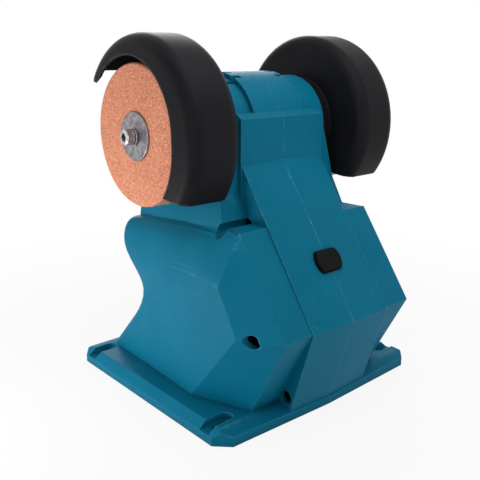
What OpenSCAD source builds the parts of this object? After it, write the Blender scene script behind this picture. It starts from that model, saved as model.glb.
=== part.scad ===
// Two-wheel mini bench grinder with moulded housing halves.
// Millimetres. Wheel axis along X, +Z up, user side at +Y, origin at the middle of the base on the bench.

/* [Wheels] */
// Diameter of the grinding wheel and of the polishing wheel
wheel_d = 75; // [68:1:78]
// Thickness of both wheels
wheel_t = 20; // [14:1:24]
// Bore of both wheels
wheel_bore = 10; // [9.5:0.5:13]
// Rounding of the polishing wheel at its rim
felt_round = 3; // [1:0.5:5]
// Height of the wheel axis above the bench
axis_h = 151.5; // [148:0.5:160]

/* [Base] */
// Width of the base plate along the wheel axis
base_w = 157.8; // [150:1:180]
// Depth of the base plate at its corners
base_d = 145.8; // [142:1:165]
// Height of the base plate
base_h = 8.8; // [8:0.2:11]
// Height of the upright rim round the base plate
rim_h = 4.6; // [3.6:0.2:6]
// Width of the bevel along the left and right rails
rail_bevel = 5; // [3:0.5:7]
// Width of the slope along the rear and front edges
edge_slope = 10; // [6:0.5:14]
// Cut across each corner of the base plate
corner_cut = 8; // [4:0.5:12]
// How far the rear and front edges stand out at the seam
edge_draft = 2.4; // [1:0.2:4]
// Width of a bench slot
slot_w = 4.8; // [4:0.2:5.6]
// Length of a bench slot from end to end
slot_l = 10; // [8:0.5:12]
// Width of the screw head recess over a slot
slot_head_w = 8; // [7:0.5:9]
// Spacing of the bench slots along the wheel axis
slot_span_x = 136; // [134:0.5:142]
// Spacing of the bench slots across the wheel axis
slot_span_y = 116.6; // [112:0.5:120]

/* [Body] */
// Wall of the housing halves
wall = 3; // [2.4:0.2:3.6]
// Height of the ridge round the lower body
ridge_z = 55; // [50:1:60]
// Distance of the ridge behind the wheel axis
ridge_y = 89.8; // [86:0.5:96]
// Half width of the slanted middle panel
panel_x = 30.6; // [28:0.5:33]
// How far the middle panel stands proud of its side strips
panel_step = 1.8; // [1:0.2:3]
// Half width of the side strips
strip_x = 49.8; // [46:0.5:54]
// Half width of the body at its widest
side_x = 63.5; // [60:0.5:67]
// Height of the crease under the shoulders
crease_z = 79; // [75:0.5:83]
// Height of the shoulders
shoulder_z = 104.8; // [102:0.4:108]

/* [Column] */
// Radius of the arch band over the motor
band_r = 31.8; // [31:0.2:34]
// Width of the arch band
band_w = 38; // [30:1:44]
// Radius of the side collars
collar_r = 29; // [28.4:0.2:30]
// Half width over the side collars
collar_x = 38; // [37:0.5:40]
// Half width of the box at the rear of the column
box_x = 31.6; // [29:0.4:33]
// Distance of the rear face of the column box behind the wheel axis
box_y = 33.6; // [33:0.2:36]
// Height of the column box over the wheel axis
box_up = 8.6; // [6:0.4:11]

/* [Guards] */
// Wall of a wheel guard
guard_wall = 2.5; // [2:0.1:3]
// Room between a wheel and the drum of its guard
guard_gap = 12.4; // [10:0.4:14]
// Thickness of the lip round the mouth of a guard
lip_t = 1.8; // [1.4:0.1:2.4]
// Radius of the round mouth in the lip
mouth_r = 38.6; // [38:0.2:41]
// Height of the front end of the drum over the wheel axis
drum_end = 32.6; // [28:0.4:36]

/* [Button] */
// Diameter of the push button
button_d = 18.4; // [18:0.2:21]
// Distance between the two flats of the push button
button_flat = 12; // [11:0.2:14]
// How far the button stands out
button_proud = 2.2; // [1.8:0.2:4]
// Travel of the button
button_travel = 2.4; // [1.6:0.2:2.6]
// Distance of the button above the ridge, along the slanted panel
button_up = 35.8; // [32:0.4:39]

/* [Drive] */
// Diameter of the spindle
spindle_d = 8; // [7:0.2:8.4]
// Outer diameter of the motor can
motor_d = 44; // [42:0.5:45]
// Half length of the motor can
motor_x = 26; // [25.5:0.1:26.5]

/* [Hidden] */
$fn = 64;
far = 400;
// running clearance of a shaft in its bearing, of a seat, and of a moving piece beside its frame
run_clear = 0.03;
seat_clear = 0.1;
free_clear = 0.3;

// wheel stack along X, from the collar outward
hub_len = 8;
guard_x = collar_x + hub_len;
wheel_gap = 6.9;
wheel_in = guard_x + guard_wall + wheel_gap;
wheel_out = wheel_in + wheel_t;
lip_in = wheel_out + 0.8;
guard_end = lip_in + lip_t;
guard_in_r = wheel_d / 2 + guard_gap;
guard_r = guard_in_r + guard_wall;
back_round = 7;
mouth_round = 7.5;
lip_slope = 6;
lip_sink = 0.05;
lip_flat_r = mouth_r - 0.8;
mouth_y = 3.5;
mouth_up = 2.5;
mouth_drop = 6;
dish = 7;

// guard ends, heights over the wheel axis
drum_low = 25;
drum_low_tilt = 8.2;
horn_end = 22.6;
guard_hub_r = 27;
guard_bore_r = 16;
guard_pcd = 43;
guard_screw_n = 3;

// clamping pieces of a wheel
flange_d = 26;
flange_t = 1.3;
lock_d = 9.4;
lock_t = 1.3;
arbor_flange_d = 28;
arbor_flange_t = 5;
screw_r = 2.5;
screw_head_r = 4.25;
screw_head_l = 5;
screw_len = 20;
socket_af = 4;
spindle_x = wheel_out - 2;

// slanted panel
panel_top_y = box_y;
panel_top_z = axis_h - 15.5;
slant = atan2(panel_top_z - ridge_z, ridge_y - panel_top_y);
panel_foot_y = base_d / 2 + edge_draft - 1;
draft = atan(edge_draft / (base_w / 2 - corner_cut));
button_y = -ridge_y + button_up * cos(slant);
button_z = ridge_z + button_up * sin(slant);
button_flange_t = 2;
button_gap = 0.9;
cradle_x = button_d / 2 + 4;

// push switch, depths below the slanted panel
switch_w = 14;
switch_top = 12;
switch_len = 15;
plunger_r = 2;
plunger_in = 6;

// front profile of the lower body, corner points from foot to column
foot_y = base_d / 2 - 8.7;
waist_y = 24.7;
waist_z = 52.5;
lip_y = 50.2;
nose_z = 96;
shelf_rise = 1.2;
column_front_y = 42;
fillet_front = 6;

// body corners at the base, the ridge, the crease and the shoulder
foot_side_x = side_x - 0.3;
foot_side_y = -27.5;
foot_strip_x = strip_x - 0.5;
foot_strip_y = -(base_d / 2 - 9);
ridge_side_y = -(ridge_y - 23.3);
crease_side_y = -52;
shoulder_strip_y = -52.9;
shoulder_side_y = shoulder_strip_y + 1;
front_foot_x = side_x - 4;
front_waist_x = side_x - 6;

// soft corner in the middle of each side, at the base, the ridge and above it
mid_foot_x = side_x - 2.9;
mid_foot_y = 18.5;
mid_ridge_y = -16;
mid_high_y = -8.6;
mid_high_z = ridge_z + 13.3;
mid_crease_y = -4;

// flared sides of the column
flare_top_x = 33;
flare_mid_x = guard_x - 0.6;
flare_mid_z = axis_h - 31;
flare_low_x = 48;
flare_low_z = 90;
flare_rear_y = 31;

// shoulders, which fall toward the front and are rounder there
shoulder_mid_z = shoulder_z - 3.8;
shoulder_fall = 0.095;
front_bend = 1.7;
shoulder_lean = (side_x - flare_low_x) / (shoulder_mid_z - shoulder_fall * crease_side_y - crease_z);

// motor bay
bay_r = collar_r - wall;
bay_x = collar_x - 4.4;
duct_x = 27.5;

// housing screws, rear ones seen in the side of the body
post_r = 5.5;
bore_r = 3.9;
shank_r = 1.5;
head_r = 3;
head_l = 2.4;
seat_x = 10;
screw_tip_x = 13;
post_x = seat_x + 12;
post_tip_x = screw_tip_x + 4;
web_t = 3;
screw_yz = [[-37.5, 103.2], [-72.5, 54], [-69.8, 12.4]];

// motor pieces
can_t = 1.8;
end_t = 2;
bearing_r = 8;
bearing_l = 5;
bearing_wall = 1.5;
core_r = 17;
core_x = 13;
core_slot_r = 8;
core_slot_l = 6.5;
core_slot_w = 5.2;
core_gap_w = 1.8;
coil_gap = 0.3;
coil_out_r = 15;
coil_in_r = 7;
coil_head = 5;
coil_clear = 0.6;
magnet_x = 18;
magnet_t = 2.4;
comm_r = 6;
comm_x0 = 20;
comm_x1 = 25;
brush_w = 4;
brush_top = 13;
holder_t = 1.2;
fan_r = 15;
fan_hub_r = 6;
fan_x0 = 18.5;
fan_x1 = 25;
fan_disc_t = 1.2;
blade_t = 1;
blade_l = 5;
blade_root = 1;
blade_edge = 0.4;

// power inlet on the front slope
inlet_r = 4.1;
inlet_rim_r = 5.6;
inlet_rim_t = 1.2;
inlet_len = 14;
inlet_hole_r = 2.8;
inlet_pin_r = 1;
inlet_lift = 0.05;
front_slope = atan2(waist_z - base_h, foot_y - waist_y);
inlet_y = foot_y - 17.2;
inlet_z = base_h + (foot_y - inlet_y) * tan(front_slope);

// wires
wire_r = 0.9;
tab_gap = 0.2;
tab_len = 5;
inlet_tab = 4;
lead_bend = 8;
lead_x = motor_x + end_t + wire_r + seat_clear;
lead_low = 20;
lead_under = motor_d / 2 + 1.9;
lead_top = 14;

// point on a quadratic curve through a corner
function bend(a, b, c, t) = a * (1 - t) * (1 - t) + b * 2 * t * (1 - t) + c * t * t;
function mid(a, b, t) = a * (1 - t) + b * t;
function steps(a, b, n) = [for (i = [0 : n - 1]) a + (b - a) * i / n];

// front edge of the body, rows of height and distance in front of the wheel axis
front_foot = [base_h, foot_y];
front_waist = [waist_z, waist_y];
front_lip = [crease_z - 1.5, lip_y];
front_nose = [nose_z, lip_y];
front_shelf = [nose_z + shelf_rise, column_front_y - 1];
front_top = [shoulder_z, column_front_y - 6];
front_curve = concat(
    [[0, foot_y], front_foot],
    [for (t = [0 : 0.125 : 1]) bend(mid(front_waist, front_foot, 0.42), front_waist,
        mid(front_waist, front_lip, 0.42), t)],
    [for (t = [0 : 0.25 : 1]) bend(mid(front_lip, front_waist, 0.22), front_lip,
        mid(front_lip, front_nose, 0.4), t)],
    [for (t = [0 : 0.2 : 1]) bend(mid(front_nose, front_lip, 0.5), front_nose,
        mid(front_nose, front_shelf, 0.5), t)],
    [front_shelf, front_top]);

levels = concat([rim_h], steps(base_h, ridge_z, 9), steps(ridge_z, mid_high_z, 4), steps(mid_high_z, crease_z, 3),
    steps(crease_z, nose_z - 8, 3), steps(nose_z - 8, front_shelf[0], 8), steps(front_shelf[0], shoulder_z, 3),
    [shoulder_z]);
levels_in = concat([base_h - wall], [for (z = levels) if (z > base_h && z < shoulder_z - 2.6 * wall) z],
    [shoulder_z - 2.2 * wall]);
function shoulder_top(y) = shoulder_mid_z - shoulder_fall * y;
function shoulder_bend(y) = 1 + front_bend * pow(min(1, max(0, (y - crease_side_y) / (lip_y - crease_side_y))), 1.5);
function shoulder_drop(t, n) = t < 0 || t > 1 ? 1 - t : pow(1 - pow(t, n), 1 / n);
function shoulder_x(y, z) = flare_low_x + shoulder_lean * (shoulder_top(y) - crease_z)
    * shoulder_drop((z - crease_z) / (shoulder_top(y) - crease_z), shoulder_bend(y));

// half outline of the lower body at a height, from the rear strip to the middle of the front
function strip_edge(z) = [lookup(z, [[base_h, foot_strip_x], [ridge_z, strip_x]]),
    lookup(z, [[base_h, foot_strip_y], [ridge_z, panel_step - ridge_y], [shoulder_z, shoulder_strip_y]])];
function side_y(z) = lookup(z, [[base_h, foot_side_y], [ridge_z, ridge_side_y], [crease_z, crease_side_y],
    [shoulder_z, shoulder_side_y]]);
function side_edge(z) = [z > crease_z ? shoulder_x(side_y(z), z)
    : lookup(z, [[base_h, foot_side_x], [ridge_z, side_x]]), side_y(z)];
function mid_y(z) = lookup(z, [[base_h, mid_foot_y], [ridge_z, mid_ridge_y], [mid_high_z, mid_high_y],
    [crease_z, mid_crease_y], [shoulder_z, 0]]);
function mid_edge(z) = [z > crease_z ? shoulder_x(mid_y(z), z)
    : lookup(z, [[base_h, mid_foot_x], [ridge_z, side_x], [mid_high_z, side_x],
        [crease_z, shoulder_x(mid_crease_y, crease_z)]]), mid_y(z)];
function front_y(z) = lookup(z, front_curve);
function front_x(z) = shoulder_x(front_y(z) - fillet_front, z);
function front_edge(z) = [z > crease_z ? front_x(z)
    : lookup(z, [[base_h, front_foot_x], [ridge_z, front_waist_x], [crease_z, front_x(crease_z)]]), front_y(z)];
function half_outline(z, t) = concat(
    [[strip_edge(z)[0] - t, strip_edge(z)[1] + 1.2 * t]],
    [[side_edge(z)[0] - t, side_edge(z)[1] + 0.6 * t]],
    [[mid_edge(z)[0] - t, mid_edge(z)[1]]],
    [for (a = [0 : 15 : 90]) front_edge(z) - [t, t] + fillet_front * [cos(a) - 1, sin(a) - 1]]);
function outline(z, t) = concat(half_outline(z, t),
    [for (i = [len(half_outline(z, t)) - 1 : -1 : 0]) [-half_outline(z, t)[i][0], half_outline(z, t)[i][1]]]);

// height whose outline the inside of a wall follows, lower than the outside over the crease
function skin_z(z, t) = z + t * min(1, max(0, (z - crease_z) / 8));

// solid between outlines at the given heights
module loft(heights, t) {
    n = len(outline(heights[0], t));
    m = len(heights);
    points = [for (z = heights) for (p = outline(skin_z(z, t), t)) [p[0], p[1], z]];
    sides = [for (k = [0 : m - 2]) for (i = [0 : n - 1]) for (s = [0, 1])
        s == 0 ? [k * n + i, (k + 1) * n + (i + 1) % n, k * n + (i + 1) % n]
            : [k * n + i, (k + 1) * n + i, (k + 1) * n + (i + 1) % n]];
    bottom = [[for (i = [0 : n - 1]) i]];
    top = [[for (i = [n - 1 : -1 : 0]) (m - 1) * n + i]];
    polyhedron(points = points, faces = concat(bottom, sides, top));
}

// cylinder along X, centred on the given height and depth
module rod(r, x0, x1, y = 0, z = axis_h) {
    translate([x0, y, z]) rotate([0, 90, 0]) cylinder(r = r, h = x1 - x0);
}

module ring(r_out, r_in, x0, x1) {
    difference() {
        rod(r_out, x0, x1);
        rod(r_in, x0 - 1, x1 + 1);
    }
}

// outline in Y and Z pulled along X
module pull_x(x0, x1, points) {
    translate([x0, 0, 0]) rotate([90, 0, 90]) linear_extrude(x1 - x0) polygon(points);
}

// outline in X and Z pulled along Y
module pull_y(y0, y1, points) {
    translate([0, y1, 0]) rotate([90, 0, 0]) linear_extrude(y1 - y0) polygon(points);
}

module half_space(side) {
    translate([side > 0 ? 0 : -far, -far, -1]) cube([far, 2 * far, far]);
}

// frame on the slanted panel, local Z out of the panel
module on_panel() {
    translate([0, button_y, button_z]) rotate([slant, 0, 0]) children();
}

// frame on the front slope, local Z out of the slope
module on_front() {
    translate([0, inlet_y, inlet_z]) rotate([-front_slope, 0, 0]) children();
}

// local frame of one wheel side, local Z outward along the wheel axis
module on_axis(side) {
    translate([0, 0, axis_h]) rotate([0, side * 90, 0]) children();
}

module base_plate() {
    hx = base_w / 2;
    hy = base_d / 2;
    intersection() {
        linear_extrude(base_h) polygon([[-hx, corner_cut - hy], [corner_cut - hx, -hy], [0, -hy - edge_draft],
            [hx - corner_cut, -hy], [hx, corner_cut - hy], [hx, hy - corner_cut], [hx - corner_cut, hy],
            [0, hy + edge_draft], [corner_cut - hx, hy], [-hx, hy - corner_cut]]);
        pull_y(-far, far, [[-hx, 0], [hx, 0], [hx, rim_h], [hx - rail_bevel, base_h],
            [rail_bevel - hx, base_h], [-hx, rim_h]]);
        pull_x(-far, far, [[-hy - edge_draft, 0], [hy + edge_draft, 0], [hy + edge_draft, rim_h],
            [hy + edge_draft - edge_slope, base_h], [edge_slope - hy - edge_draft, base_h],
            [-hy - edge_draft, rim_h]]);
    }
}

module panel_body(side, shift, half_width, z0, z1) {
    intersection() {
        rotate([0, 0, side * draft]) translate([0, shift, 0]) pull_x(-2 * half_width, 2 * half_width,
            [[-panel_top_y, panel_top_z], [-ridge_y, ridge_z], [-panel_foot_y, rim_h], [0, rim_h],
            [0, panel_top_z]]);
        translate([-half_width, -far, z0]) cube([2 * half_width, far, z1 - z0]);
    }
}

module column_body() {
    box_z = axis_h + box_up;
    intersection() {
        pull_y(-far, far, [[-flare_low_x, flare_low_z], [flare_low_x, flare_low_z], [flare_low_x, shoulder_z + 0.6],
            [flare_mid_x, flare_mid_z], [flare_top_x, box_z], [-flare_top_x, box_z], [-flare_mid_x, flare_mid_z],
            [-flare_low_x, shoulder_z + 0.6]]);
        pull_x(-far, far, [[-flare_rear_y - 8, flare_low_z], [column_front_y, flare_low_z],
            [column_front_y, shoulder_z - 6], [collar_r, axis_h], [collar_r, box_z], [-flare_rear_y, box_z],
            [-flare_rear_y, flare_mid_z], [-flare_rear_y - 8, shoulder_z - 4]]);
    }
    pull_x(-box_x, box_x, [[-box_y, flare_low_z], [0, flare_low_z], [0, box_z + 2.4], [4 - box_y, box_z + 2.4],
        [-box_y, box_z]]);
    rod(band_r, -band_w / 2, band_w / 2);
    rod(collar_r, -collar_x, collar_x);
}

module housing_outer(side) {
    base_plate();
    loft(levels, 0);
    panel_body(side, 0, panel_x, rim_h, panel_top_z);
    column_body();
}

module housing_cavity(side) {
    loft(levels_in, wall);
    panel_body(side, wall / sin(slant), panel_x - wall, base_h - wall, panel_top_z - 12);
    translate([-duct_x, -box_y + wall, ridge_z]) cube([2 * duct_x, box_y - wall + bay_r - 2, axis_h - ridge_z]);
    pull_y(wall - flare_rear_y, collar_r - wall, [[wall - flare_low_x, ridge_z], [flare_low_x - wall, ridge_z],
        [flare_low_x - wall, shoulder_z], [collar_x - wall, flare_mid_z], [flare_top_x - wall, axis_h - 8],
        [wall - flare_top_x, axis_h - 8], [wall - collar_x, flare_mid_z], [wall - flare_low_x, shoulder_z]]);
    rod(bay_r, -bay_x, bay_x);
}

// posts on webs, motor rings and switch cradle that stay inside the hollow
module housing_ribs() {
    for (p = screw_yz) {
        rod(post_r, -post_x, post_tip_x, p[0], p[1]);
        translate([-post_x, -far, p[1] - web_t / 2]) cube([post_x + post_tip_x, far + p[0], web_t]);
    }
    difference() {
        for (s = [-1, 1]) ring(bay_r + 1, motor_d / 2 + seat_clear, s * 18 - 2, s * 18 + 2);
        translate([-far, -12, 0]) cube([2 * far, 24, axis_h]);
    }
    on_panel() for (s = [-1, 1]) {
        translate([s * (cradle_x + 1.5) - 1.5, -8, -switch_top - switch_len - 3]) cube([3, 16, far / 10]);
        translate([s > 0 ? switch_w / 2 + seat_clear : -cradle_x - 1, -8, -switch_top - switch_len])
            cube([cradle_x + 1 - switch_w / 2 - seat_clear, 16, switch_len - 2]);
        translate([s > 0 ? 3 : -cradle_x - 1, -8, -switch_top - switch_len - 3]) cube([cradle_x - 2, 16, 3]);
    }
}

module button_outline(grow) {
    intersection() {
        circle(r = button_d / 2 + grow);
        square([button_d + 2 * grow, button_flat + 2 * grow], center = true);
    }
}

module housing_openings(side) {
    // bench slots with their head recesses
    for (sy = [-1, 1]) {
        translate([side * slot_span_x / 2, sy * slot_span_y / 2, 0]) {
            for (e = [-1, 1]) translate([e * (slot_l - slot_w) / 2, 0, -1]) cylinder(r = slot_w / 2, h = base_h + 2);
            translate([(slot_w - slot_l) / 2, -slot_w / 2, -1]) cube([slot_l - slot_w, slot_w, base_h + 2]);
            translate([-side * 3.6, 0, rim_h]) cylinder(r = slot_head_w / 2, h = base_h);
            translate([side > 0 ? -3.6 : 3.6 - far, -slot_head_w / 2, rim_h]) cube([far, slot_head_w, base_h]);
        }
    }
    // screw bores, counterbored in the left half and blind in the right half
    for (p = screw_yz) {
        difference() {
            rod(bore_r, -far, -seat_x, p[0], p[1]);
            translate([-far, -far, -far]) cube([far - post_x, 2 * far, far + base_h + free_clear]);
        }
        rod(shank_r + seat_clear, -far, screw_tip_x + 1, p[0], p[1]);
    }
    // button hole
    on_panel() translate([0, 0, -2 * wall]) linear_extrude(4 * wall) button_outline(free_clear);
    // power inlet hole
    on_front() translate([0, 0, -inlet_len]) cylinder(r = inlet_r + seat_clear, h = inlet_len + 9);
    // round seat of the guard hub in the flared side
    rod(guard_hub_r + free_clear, side > 0 ? collar_x : -far, side > 0 ? far : -collar_x);
    // spindle and guard screw holes in the collar end
    rod(spindle_d / 2 + 1.6, -far, far);
    for (i = [0 : guard_screw_n - 1]) on_axis(side) rotate([0, 0, 90 + 360 * i / guard_screw_n])
        translate([guard_pcd / 2, 0, bay_x - 1]) cylinder(r = shank_r + seat_clear, h = far);
    // cooling vents across the edge of the arch band
    for (y = [-12, -3.4]) translate([side * 19 - 5.5, y - 1.6, axis_h + 18]) cube([11, 3.2, far]);
}

module housing_half(side) {
    difference() {
        intersection() {
            housing_outer(side);
            half_space(side);
        }
        difference() {
            housing_cavity(side);
            housing_ribs();
        }
        housing_openings(side);
    }
}

module housing_left() {
    color([0.1, 0.42, 0.52]) housing_half(-1);
}

module housing_right() {
    color([0.1, 0.42, 0.52]) housing_half(1);
}

module housing_screws() {
    color([0.2, 0.2, 0.22]) for (p = screw_yz) difference() {
        union() {
            rod(head_r, -seat_x - head_l, -seat_x, p[0], p[1]);
            rod(shank_r, -seat_x, screw_tip_x, p[0], p[1]);
        }
        for (a = [0, 90]) translate([-seat_x - head_l, p[0], p[1]]) rotate([a, 0, 0])
            cube([2.4, 3.4, 0.9], center = true);
    }
}

// turned bowl with both rims rounded, local Z outward
module bowl(r, h0, h1, round_in, round_out) {
    z0 = h0 + round_in;
    z1 = h1 - round_out;
    rotate_extrude() {
        polygon([[0, h0], [r - round_in, h0], [r - round_in, z0], [r, z0], [r, z1], [r - round_out, z1],
            [r - round_out, h1], [0, h1]]);
        translate([r - round_in, z0]) intersection() {
            circle(r = round_in);
            translate([0, -round_in]) square(round_in);
        }
        translate([r - round_out, z1]) intersection() {
            circle(r = round_out);
            square(round_out);
        }
    }
}

// bowl of a guard, whose outer end is flat round the mouth and then slopes back into the rounded rim
module guard_bowl(r, h0, h1, round_in, round_out) {
    reach = round_out - lip_sink;
    rim_z = h1 - (reach + sin(lip_slope) * (r - round_out - lip_flat_r)) / cos(lip_slope);
    bowl(r, h0, rim_z + round_out, round_in, round_out);
    rotate_extrude() polygon([[0, rim_z - 1], [r - round_out, rim_z - 1],
        [r - round_out + reach * sin(lip_slope), rim_z + reach * cos(lip_slope)], [lip_flat_r, h1], [0, h1]]);
}

module guard(side) {
    color([0.13, 0.13, 0.14]) difference() {
        union() {
            difference() {
                on_axis(side) difference() {
                    guard_bowl(guard_r, guard_x, guard_end, back_round, mouth_round);
                    guard_bowl(guard_in_r, guard_x + guard_wall, lip_in, back_round - guard_wall,
                        mouth_round - guard_wall);
                }
                // mouth in the lip, round above and below, set forward
                for (z = [mouth_up - mouth_drop, mouth_up])
                    rod(mouth_r, side > 0 ? wheel_out : -far, side > 0 ? far : -wheel_out, mouth_y, axis_h + z);
                translate([side > 0 ? wheel_out : -far, mouth_y - mouth_r, axis_h + mouth_up - mouth_drop])
                    cube([far - wheel_out, 2 * mouth_r, mouth_drop]);
                // open front, with the lip running on into a horn
                translate([0, 0, axis_h]) pull_y(0, far, [for (p = [[guard_x + dish, -far],
                    [guard_x + dish, drum_end], [lip_in - 2, drum_end], [guard_end + 1, horn_end],
                    [far, horn_end], [far, -far]]) [side * p[0], p[1]]]);
                // open bottom
                translate([0, 0, axis_h - drum_low]) rotate([drum_low_tilt, 0, 0]) translate([-far, -far, -far])
                    cube([2 * far, 2 * far, far]);
            }
            on_axis(side) translate([0, 0, collar_x]) cylinder(r = guard_hub_r, h = hub_len + guard_wall);
        }
        rod(guard_bore_r, -far, far);
        for (i = [0 : guard_screw_n - 1]) on_axis(side) rotate([0, 0, 90 + 360 * i / guard_screw_n])
            translate([guard_pcd / 2, 0, 0]) cylinder(r = shank_r + seat_clear, h = far);
    }
}

module guard_left() {
    guard(-1);
}

module guard_right() {
    guard(1);
}

module guard_screws() {
    color([0.2, 0.2, 0.22]) for (side = [-1, 1]) for (i = [0 : guard_screw_n - 1])
        on_axis(side) rotate([0, 0, 90 + 360 * i / guard_screw_n]) translate([guard_pcd / 2, 0, 0]) difference() {
            union() {
                translate([0, 0, guard_x + guard_wall]) cylinder(r = head_r, h = 2.2);
                translate([0, 0, bay_x + 0.6]) cylinder(r = shank_r, h = guard_x + guard_wall - bay_x);
            }
            for (a = [0, 90]) rotate([0, 0, a]) translate([0, 0, guard_x + guard_wall + 2.2])
                cube([3.4, 0.9, 2], center = true);
        }
}

module motor_can() {
    color([0.5, 0.5, 0.52]) ring(motor_d / 2, motor_d / 2 - can_t, -motor_x, motor_x);
}

module motor_end(side) {
    x0 = side > 0 ? motor_x : -motor_x - end_t;
    b0 = side > 0 ? motor_x + end_t : -motor_x - end_t - bearing_l;
    color([0.16, 0.16, 0.17]) difference() {
        union() {
            rod(motor_d / 2, x0, x0 + end_t);
            rod(bearing_r + bearing_wall, b0, b0 + bearing_l);
        }
        rod(bearing_r + run_clear, b0, b0 + bearing_l);
        rod(spindle_d / 2 + 1, -far, far);
        for (a = [45 : 90 : 315]) translate([0, 0, axis_h]) rotate([a, 0, 0])
            rod(2.4, -far, far, 14.5, 0);
    }
}

module motor_end_left() {
    motor_end(-1);
}

module motor_end_right() {
    motor_end(1);
}

module magnets() {
    color([0.22, 0.2, 0.2]) difference() {
        ring(motor_d / 2 - can_t - seat_clear, motor_d / 2 - can_t - seat_clear - magnet_t, -magnet_x, magnet_x);
        translate([-far, -far, axis_h - 7]) cube([2 * far, 2 * far, 14]);
    }
}

module bearing(side) {
    x0 = side > 0 ? motor_x + end_t : -motor_x - end_t - bearing_l;
    color([0.7, 0.71, 0.73]) difference() {
        ring(bearing_r, spindle_d / 2 + run_clear, x0, x0 + bearing_l);
        ring(bearing_r - 1.2, spindle_d / 2 + 1.2, x0 - 1, x0 + 0.4);
        ring(bearing_r - 1.2, spindle_d / 2 + 1.2, x0 + bearing_l - 0.4, x0 + bearing_l + 1);
    }
}

module bearing_left() {
    bearing(-1);
}

module bearing_right() {
    bearing(1);
}

brush_x = (comm_x0 + comm_x1) / 2;

module brush_holders() {
    w = brush_w + 2 * holder_t;
    color([0.72, 0.58, 0.25]) for (s = [-1, 1]) difference() {
        translate([brush_x - w / 2, s > 0 ? comm_r + 2 : -brush_top - holder_t, axis_h - w / 2])
            cube([motor_x - brush_x + w / 2, brush_top + holder_t - comm_r - 2, w]);
        translate([brush_x - brush_w / 2 - seat_clear, s > 0 ? 0 : -brush_top, axis_h - brush_w / 2 - seat_clear])
            cube([brush_w + 2 * seat_clear, brush_top, brush_w + 2 * seat_clear]);
    }
}

module brushes() {
    color([0.1, 0.1, 0.1]) for (s = [-1, 1]) translate([brush_x - brush_w / 2,
        s > 0 ? comm_r + seat_clear : -brush_top, axis_h - brush_w / 2])
        cube([brush_w, brush_top - comm_r - seat_clear, brush_w]);
}

module power_switch() {
    color([0.12, 0.12, 0.13]) on_panel() difference() {
        union() {
            translate([-switch_w / 2, -switch_w / 2, -switch_top - switch_len])
                cube([switch_w, switch_w, switch_len]);
            for (s = [-1, 1]) translate([-1.2, s * 4 - 0.4, -switch_top - switch_len - tab_len])
                cube([2.4, 0.8, tab_len + 0.5]);
        }
        translate([0, 0, -switch_top - plunger_in - button_travel - free_clear])
            cylinder(r = plunger_r + seat_clear, h = far);
    }
}

module power_button() {
    color([0.13, 0.13, 0.14]) on_panel() {
        translate([0, 0, -wall - button_gap]) linear_extrude(wall + button_gap + button_proud - 0.6)
            button_outline(0);
        translate([0, 0, button_proud - 0.6]) linear_extrude(0.6) button_outline(-0.5);
        translate([0, 0, -wall - button_gap - button_flange_t]) linear_extrude(button_flange_t)
            button_outline(1.6);
    }
}

module switch_plunger() {
    top = -wall - button_gap - button_flange_t;
    color([0.8, 0.8, 0.78]) on_panel() translate([0, 0, -switch_top - plunger_in]) cylinder(r = plunger_r,
        h = top + switch_top + plunger_in);
}

module dc_inlet() {
    color([0.1, 0.1, 0.1]) on_front() {
        difference() {
            union() {
                translate([0, 0, inlet_lift]) cylinder(r = inlet_rim_r, h = inlet_rim_t);
                translate([0, 0, -inlet_len]) cylinder(r = inlet_r, h = inlet_len + inlet_lift);
                for (s = [-1, 1]) translate([s * 2 - 0.4, -1, -inlet_len - inlet_tab])
                    cube([0.8, 2, inlet_tab + 0.5]);
            }
            translate([0, 0, 1 - inlet_len + 3]) cylinder(r = inlet_hole_r, h = far);
        }
        translate([0, 0, 2 - inlet_len]) cylinder(r = inlet_pin_r, h = inlet_len - 2.5);
    }
}

// run of wire through the given points
module wire(points) {
    for (i = [0 : len(points) - 2]) {
        a = points[i];
        b = points[i + 1];
        d = b - a;
        translate(a) rotate([0, acos(d[2] / norm(d)), atan2(d[1], d[0])])
            cylinder(r = wire_r, h = norm(d), $fn = 16);
        if (i > 0) translate(a) sphere(r = wire_r + 0.05, $fn = 16);
    }
}

function panel_point(x, u, v) = [x, button_y + u * cos(slant) - v * sin(slant),
    button_z + u * sin(slant) + v * cos(slant)];
function front_point(x, v) = [x, inlet_y + v * sin(front_slope), inlet_z + v * cos(front_slope)];

module lead_wires() {
    tab = -switch_top - switch_len - tab_len;
    low = axis_h - bay_r - wall;
    inlet_end = -inlet_len - inlet_tab - tab_gap;
    color([0.6, 0.08, 0.06]) {
        wire([panel_point(0, 4, tab - tab_gap), panel_point(0, 4, tab - lead_bend), [6, -8, low - lead_bend],
            [20, 0, low + 2], [lead_x + 0.8, 0, axis_h - lead_under], [lead_x, 0, axis_h - lead_top]]);
        wire([panel_point(0, -4, tab - tab_gap), panel_point(0, -4, tab - lead_bend), [-8, 10, ridge_z + 2],
            front_point(-2, inlet_end - 10), front_point(-2, inlet_end)]);
        wire([front_point(2, inlet_end), front_point(2, inlet_end - lead_bend), [12, 14, ridge_z + 20],
            [24, 8, low], [lead_x + 0.8, 8, axis_h - lead_low], [lead_x, 8, axis_h - lead_top]]);
    }
}

module spindle() {
    color([0.72, 0.73, 0.75]) difference() {
        rod(spindle_d / 2, -spindle_x, spindle_x);
        for (s = [-1, 1]) rod(screw_r + run_clear, s > 0 ? spindle_x - screw_len : -far,
            s > 0 ? far : screw_len - spindle_x);
    }
}

module armature_core() {
    color([0.42, 0.43, 0.45]) translate([-core_x, 0, axis_h]) rotate([90, 0, 90]) linear_extrude(2 * core_x)
        difference() {
            circle(r = core_r);
            circle(r = spindle_d / 2 + run_clear);
            for (a = [0 : 72 : 288]) rotate(a) {
                translate([core_slot_r, -core_slot_w / 2]) square([core_slot_l, core_slot_w]);
                translate([core_slot_r + 4, -core_gap_w / 2]) square([core_r - core_slot_r, core_gap_w]);
            }
        }
}

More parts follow.
